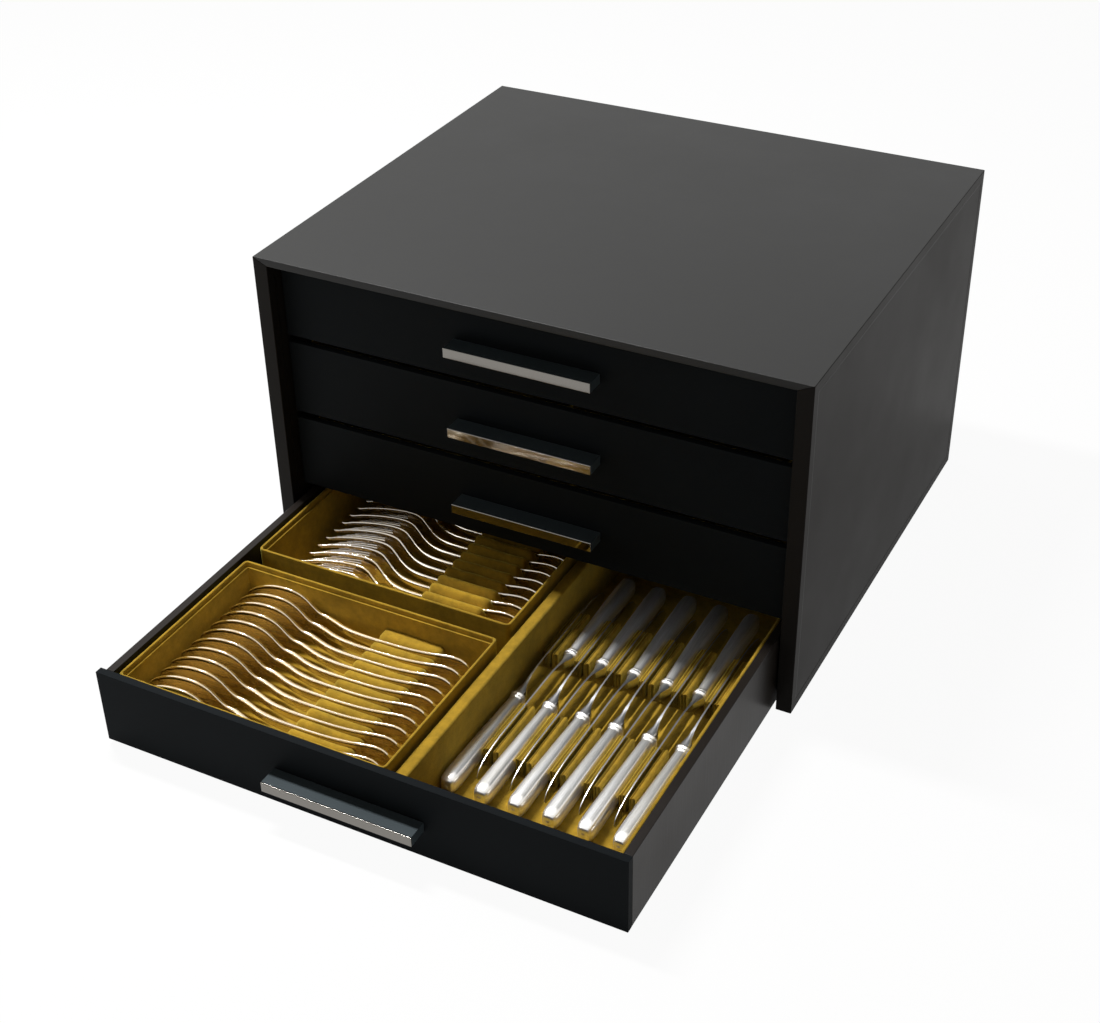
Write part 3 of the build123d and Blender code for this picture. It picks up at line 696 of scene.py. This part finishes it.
# Corners of a blade's section: share of the way round, of the half width and of the height.
blade_corners = ((0.0, 1.0, 0.5), (0.11, 1.0, 0.93), (0.125, 0.92, 1.0), (0.375, -0.92, 1.0),
                 (0.39, -1.0, 0.93), (0.5, -1.0, 0.5), (0.73, -0.25, 0.0), (0.77, 0.25, 0.0),
                 (1.0, 1.0, 0.5))


def wedge_section(around):
    """A blade's section: a flat spine on top and sides that run down to a narrow edge."""
    n = max(k for k in range(len(blade_corners) - 1) if blade_corners[k][0] <= around)
    (t0, x0, z0), (t1, x1, z1) = blade_corners[n], blade_corners[n + 1]
    part = min(1.0, (around - t0) / (t1 - t0))
    return x0 + (x1 - x0) * part, z0 + (z1 - z0) * part


class CHEST_OT_knives(bpy.types.Operator):
    """Makes the knives in two interleaved rows: hollow handles with collars, and blades."""

    bl_idname = "chest.knives"
    bl_label = "Knives"

    def execute(self, context):
        set_up = context.scene.chest_silver
        low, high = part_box("knife_handles")
        middle = (low[2] + high[2]) / 2
        handles = bmesh.new()
        blades = bmesh.new()
        for row, (end, way) in enumerate(((low[1], 1), (high[1], -1))):
            for n in range(set_up.knives_per_row):
                x0 = low[0] + handle_half + (n + 0.5 * row) * set_up.knife_pitch

                def handle(along, around, x0=x0, end=end, way=way):
                    at = handle_length * gathered(along)
                    turn = 2 * pi * around
                    x = smooth_read(handle_wide, at) * power(cos(turn), handle_square)
                    z = smooth_read(handle_deep, at) * power(sin(turn), handle_square)
                    return Vector((x0 + x * mm, end + way * at * mm, middle + z * mm))

                def blade(along, around, x0=x0, end=end, way=way):
                    at = blade_length * along
                    turn = 2 * pi * around
                    top = smooth_read(spine_line, at)
                    bottom = smooth_read(edge_line, at)
                    wide = smooth_read(bolster_wide, at)
                    flat = min(1.0, max(0.0, (at - neck_end) / neck_fade))
                    lift = 0.5 + 0.5 * power(sin(turn), neck_square)
                    across, edged = power(cos(turn), neck_square), wedge_section(around)
                    x = wide * (across * (1 - flat) + edged[0] * flat)
                    z = bottom + (top - bottom) * (lift * (1 - flat) + edged[1] * flat)
                    return Vector((x0 + x * mm, end + way * (handle_length + at) * mm, middle + z * mm))

                tube(handles, along=86, around=24, place=handle)
                tube(blades, along=80, around=32, place=blade)
        close_normals(handles)
        close_normals(blades)
        silver = polished_metal("handled silver plate", set_up.silver_colour, roughness=0.12,
                                scratch=0.12, stretch=(1.0, 0.05, 1.0), worn=0.5,
                                haze_tint=srgb("faf8f2"), spread=0.47, bare=1.0)
        steel = polished_metal("polished stainless blades", set_up.blade_colour, roughness=0.14,
                               scratch=0.2, stretch=(1.0, 0.04, 1.0))
        ground = polished_metal("ground steel spines", set_up.blade_colour, roughness=0.2,
                                scratch=0.3, stretch=(1.0, 0.04, 1.0), worn=0.45,
                                haze_tint=srgb("c8c8c8"), spread=0.42, bare=1.0)
        finish_piece(handles, "knife_handles_silver", "bottom_drawer", [silver],
                     ["knife_handles"], sharp=80)
        # the spines, whose faces don't look sideways, are ground and not polished
        for face in blades.faces:
            face.material_index = 1 if abs(face.normal.x) < 0.7 else 0
        finish_piece(blades, "knife_blades_steel", "bottom_drawer", [steel, ground],
                     ["knife_blades"], sharp=32)
        return {"FINISHED"}


# Folds beside each blade in millimetres: left, right and top.
loop_folds = ((-6.2, -4.1, 15.0), (-3.9, -1.5, 15.7), (1.5, 3.2, 14.7), (3.4, 6.3, 15.7))
plain_rack_step = 173.0 * mm    # from one plain rack to the next
plain_rack_rest = 172.9 * mm    # of the racks' whole length, beside one rack
card = 0.6 * mm                 # a fold's thickness, with its velvet
rack_sheet = 0.7 * mm           # the sheet under the folds


def pleats(bm, low, high, lines, crest, crease, squareness, slot, shift):
    """Velvet folds along X between handle lines: a grid raised into rounded folds,
    its edge drawn down to the tray's floor.  Crest and crease are the heights of fold and
    slot, slot is half a slot's width and shift bends the lines with the handles."""
    edges = [low[1], *lines, high[1]]
    folds = len(edges) - 1
    per_fold = 14
    rows = folds * per_fold - 1
    made = bmesh.ops.create_grid(bm, x_segments=34, y_segments=rows, size=0.5)["verts"]
    middle = (low[0] + high[0]) / 2
    half = (high[0] - low[0]) / 2
    for vert in made:
        along = sin(pi * vert.co.x)
        fold, step = divmod(round((vert.co.y + 0.5) * rows), per_fold)
        x = middle + half * along
        bend = shift(x)
        y0 = edges[fold] + (bend + slot if fold > 0 else 0.0)
        y1 = edges[fold + 1] + (bend - slot if fold < folds - 1 else 0.0)
        part = gathered(step / (per_fold - 1))
        bulge = max(0.0, 1 - abs(2 * part - 1) ** squareness) ** 0.5
        if fold == 0 and part < 0.5 or fold == folds - 1 and part > 0.5:
            bulge = 1.0
        y = y0 + (y1 - y0) * part + 0.35 * mm * noise.noise(Vector((x * 45, fold * 5.1, 7.0)))
        tall = crease + (crest - crease) * bulge
        tall += 0.7 * mm * noise.noise(Vector((x * 40, fold * 3.7, 0.3))) * bulge
        end = max(0.0, 1 - abs(along) ** 22) ** 0.33
        vert.co = Vector((x, min(max(y, low[1]), high[1]), min(low[2] + tall * end, high[2])))
    drawn = bmesh.ops.extrude_edge_only(bm, edges=open_edges(made))["geom"]
    for vert in drawn:
        if isinstance(vert, bmesh.types.BMVert):
            vert.co.z = low[2]
    bottom = [e for e in drawn if isinstance(e, bmesh.types.BMEdge) and e.is_boundary]
    bmesh.ops.holes_fill(bm, edges=bottom, sides=0)


def folded_loop(bm, x0, x1, z0, z1, y0, y1, seed):
    """A strip of velvet-covered card folded over into an open-ended loop, a little uneven."""
    round_off = (x1 - x0) / 2
    tall = z1 - z0 - round_off
    path = tall * 2 + pi * round_off
    verts = bmesh.ops.create_grid(bm, x_segments=22, y_segments=12, size=0.5)["verts"]
    centre = (x0 + x1) / 2
    for vert in verts:
        run = (vert.co.x + 0.5) * path
        y = y0 + (y1 - y0) * (vert.co.y + 0.5)
        if run < tall:
            x, z = x0, z0 + run
        elif run < tall + pi * round_off:
            turn = (run - tall) / round_off
            x, z = centre - round_off * cos(turn), z0 + tall + round_off * sin(turn)
        else:
            x, z = x1, z0 + path - run
        lift = (z - z0) / (z1 - z0)
        x += 0.22 * mm * noise.noise(Vector((seed * 9.1, y * 55, z * 90))) * lift
        z += 0.3 * mm * noise.noise(Vector((seed * 4.3, y * 60, 2.0))) * lift
        vert.co = Vector((x, y, z))
    faces = list(dict.fromkeys(f for v in verts for f in v.link_faces))
    bmesh.ops.recalc_face_normals(bm, faces=faces)
    bmesh.ops.solidify(bm, geom=faces, thickness=card)


class CHEST_OT_racks(bpy.types.Operator):
    """Folds the velvet racks that hold the spoons, forks and knives."""

    bl_idname = "chest.racks"
    bl_label = "Velvet racks"

    def execute(self, context):
        velvet = velvet_material(context)
        set_up = context.scene.chest_silver
        for kind, pitch, rise, crest, crease, square in (
            ("spoon", set_up.spoon_pitch, spoon_rise, 28.8, 13.0, 3.0),
            ("fork", set_up.fork_pitch, fork_rise, 26.8, 12.0, 2.2),
        ):
            low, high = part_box(kind + "_rack")
            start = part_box(kind + "s")[0]
            lines = [start[1] + handle_line * mm + n * pitch for n in range(set_up.settings_count)]
            bm = bmesh.new()
            pleats(bm, low, high, lines, crest * mm, crease * mm, square, slot=0.9 * mm,
                   shift=lambda x, start=start, rise=rise: (
                       smooth_read(rise, (x - start[0]) / mm) * mm))
            close_normals(bm)
            finish_piece(bm, f"pleated_{kind}_rack", "bottom_drawer", [velvet],
                         [kind + "_rack"], sharp=60)
        for drawer in drawers[1:]:
            node = drawer + "_racks"
            low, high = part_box(node)
            bm = bmesh.new()
            run = high[1] - low[1] - plain_rack_rest
            for row in range(2):
                near = Vector((low[0], low[1] + row * plain_rack_step, low[2]))
                far = Vector((high[0], near.y + run, high[2]))
                pitch = set_up.fork_pitch
                first = (near.y + far.y - (set_up.settings_count - 1) * pitch) / 2
                lines = [first + n * pitch for n in range(set_up.settings_count)]
                pleats(bm, near, far, lines, crest=19.8 * mm, crease=7 * mm, squareness=2.6,
                       slot=1.2 * mm, shift=lambda x: 0.0)
            close_normals(bm)
            finish_piece(bm, drawer + "_pleated_racks", drawer + "_drawer", [velvet], [node],
                         sharp=60)
        for node, offset in (("knife_rack_front", 0.5), ("knife_rack_rear", 0.0)):
            low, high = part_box(node)
            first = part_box("knife_handles")[0][0] + handle_half + offset * set_up.knife_pitch
            bm = bmesh.new()
            for n in range(set_up.knives_per_row):
                blade = first + n * set_up.knife_pitch
                for k, (x0, x1, top) in enumerate(loop_folds):
                    folded_loop(bm, blade + x0 * mm, blade + x1 * mm, low[2] + 0.1 * mm,
                                low[2] + top * mm, low[1] + 0.2 * mm, high[1] - 0.2 * mm,
                                seed=n * len(loop_folds) + k + offset)
            sheet = bmesh.ops.create_cube(bm, size=1.0)["verts"]
            bmesh.ops.scale(bm, vec=(high[0] - low[0], high[1] - low[1], rack_sheet), verts=sheet)
            bmesh.ops.translate(bm, verts=sheet, vec=((low[0] + high[0]) / 2, (low[1] + high[1]) / 2,
                                                      low[2] + rack_sheet / 2))
            finish_piece(bm, node + "_folds", "bottom_drawer", [velvet], [node], sharp=60)
        return {"FINISHED"}


# The photo's camera, solved from the case's corners.
camera_place = (0.55035, -1.17392, 0.87377)
camera_degrees = (56.157, 0.9855, 27.5133)
camera_lens = 58.57
camera_shift = (-0.0008, -0.0071)


def background_rays(tree, mirrored):
    """1 for rays that show the background: the camera's own and those through glass;
    mirrored is the share that polished and glossy pieces show of it."""
    path = add_node(tree, "ShaderNodeLightPath")
    glossy = add_node(tree, "ShaderNodeMath", {"operation": "MULTIPLY", 1: mirrored},
                      {0: path.outputs["Is Glossy Ray"]})
    seen = add_node(tree, "ShaderNodeMath", {"operation": "MAXIMUM"},
                    {0: path.outputs["Is Camera Ray"], 1: glossy.outputs[0]})
    return add_node(tree, "ShaderNodeMath", {"operation": "MAXIMUM"},
                    {0: seen.outputs[0], 1: path.outputs["Is Transmission Ray"]})


class CHEST_OT_stage(bpy.types.Operator):
    """Sets the pale floor, the soft lamps and the camera."""

    bl_idname = "chest.stage"
    bl_label = "Stage"

    def execute(self, context):
        set_up = context.scene.chest_stage
        scene = context.scene
        scene.view_settings.view_transform = "Standard"
        floor_material, tree, surface = new_material("plain pale floor")
        surface.inputs["Base Color"].default_value = opaque(set_up.floor_colour)
        surface.inputs["Roughness"].default_value = 0.9
        surface.inputs["Specular IOR Level"].default_value = 0.0
        # the floor looks plain white, with a trace of the object's shadow
        seen = background_rays(tree, mirrored=0.65)
        share = add_node(tree, "ShaderNodeMath", {"operation": "MULTIPLY", 1: 0.95},
                         {0: seen.outputs[0]})
        white = add_node(tree, "ShaderNodeEmission", {"Color": (1, 1, 1, 1), "Strength": 1.0})
        show(tree, add_node(tree, "ShaderNodeMixShader", links={
            0: share.outputs[0], 1: surface.outputs[0], 2: white.outputs[0]}))
        bm = bmesh.new()
        bmesh.ops.create_grid(bm, x_segments=1, y_segments=1, size=6.0)
        mesh = bpy.data.meshes.new("floor")
        bm.to_mesh(mesh)
        bm.free()
        mesh.materials.append(floor_material)
        floor = bpy.data.objects.new("floor", mesh)
        scene.collection.objects.link(floor)

        world = bpy.data.worlds.new("soft room")
        scene.world = world
        world.use_nodes = True
        tree = world.node_tree
        tree.nodes.clear()
        # a dim warm room lights the object, in front of a white background
        seen = background_rays(tree, mirrored=1.0)
        dim = add_node(tree, "ShaderNodeBackground", {"Color": (1.0, 0.82, 0.62, 1),
                                                      "Strength": 0.075})
        bright = add_node(tree, "ShaderNodeBackground", {"Color": (1, 1, 1, 1), "Strength": 1.0})
        blend = add_node(tree, "ShaderNodeMixShader", links={
            0: seen.outputs[0], 1: dim.outputs[0], 2: bright.outputs[0]})
        add_node(tree, "ShaderNodeOutputWorld", links={"Surface": blend.outputs[0]})

        for name, place, aim, wide, deep, strength in (
            ("overhead strip box", (-0.6, -0.1, 1.5), (-0.6, -0.1, 0.0), 0.6, 0.1, set_up.key_power),
            ("left soft box", (-1.4, -1.0, 0.9), (0.0, -0.2, 0.1), 0.8, 0.8, set_up.side_power),
            ("back soft box", (-0.7, 0.35, 1.5), (0.0, -0.2, 0.0), 0.6, 0.6, set_up.back_power),
        ):
            lamp = bpy.data.lights.new(name, "AREA")
            lamp.shape = "RECTANGLE"
            lamp.size = wide
            lamp.size_y = deep
            lamp.energy = strength
            holder = bpy.data.objects.new(name, lamp)
            scene.collection.objects.link(holder)
            holder.location = place
            holder.rotation_euler = (Vector(aim) - Vector(place)).to_track_quat("-Z", "Y").to_euler()

        lens = bpy.data.cameras.new("camera")
        lens.sensor_width = 36.0
        lens.lens = camera_lens
        lens.shift_x, lens.shift_y = camera_shift
        camera = bpy.data.objects.new("camera", lens)
        scene.collection.objects.link(camera)
        camera.location = camera_place
        camera.rotation_euler = tuple(radians(turn) for turn in camera_degrees)
        scene.camera = camera
        return {"FINISHED"}


groups = {"chest_case": ChestCaseSettings, "chest_velvet": ChestVelvetSettings,
          "chest_silver": ChestSilverSettings, "chest_stage": ChestStageSettings}


class CHEST_PT_panel(bpy.types.Panel):
    """Lists the steps that dress the chest."""

    bl_idname = "CHEST_PT_panel"
    bl_label = "Silverware Chest"
    bl_space_type = "VIEW_3D"
    bl_region_type = "UI"
    bl_category = "Chest"

    def draw(self, context):
        for step in steps:
            self.layout.operator(step)
        for group in groups:
            settings = getattr(context.scene, group)
            box = self.layout.box()
            for name in settings.__annotations__:
                box.prop(settings, name)


classes = (*groups.values(), CHEST_OT_case, CHEST_OT_drawers, CHEST_OT_trays, CHEST_OT_racks,
           CHEST_OT_spoons, CHEST_OT_forks, CHEST_OT_knives, CHEST_OT_stage, CHEST_PT_panel)
steps = ("chest.stage", "chest.case", "chest.drawers", "chest.trays", "chest.racks", "chest.spoons",
         "chest.forks", "chest.knives")


def register():
    for item in classes:
        bpy.utils.register_class(item)
    for name, settings in groups.items():
        setattr(bpy.types.Scene, name, PointerProperty(type=settings))


def unregister():
    for name in groups:
        delattr(bpy.types.Scene, name)
    for item in reversed(classes):
        bpy.utils.unregister_class(item)


def main():
    """Dresses the chest."""
    register()
    for step in steps:
        group, name = step.split(".")
        getattr(getattr(bpy.ops, group), name)()


if __name__ == "__main__":
    main()
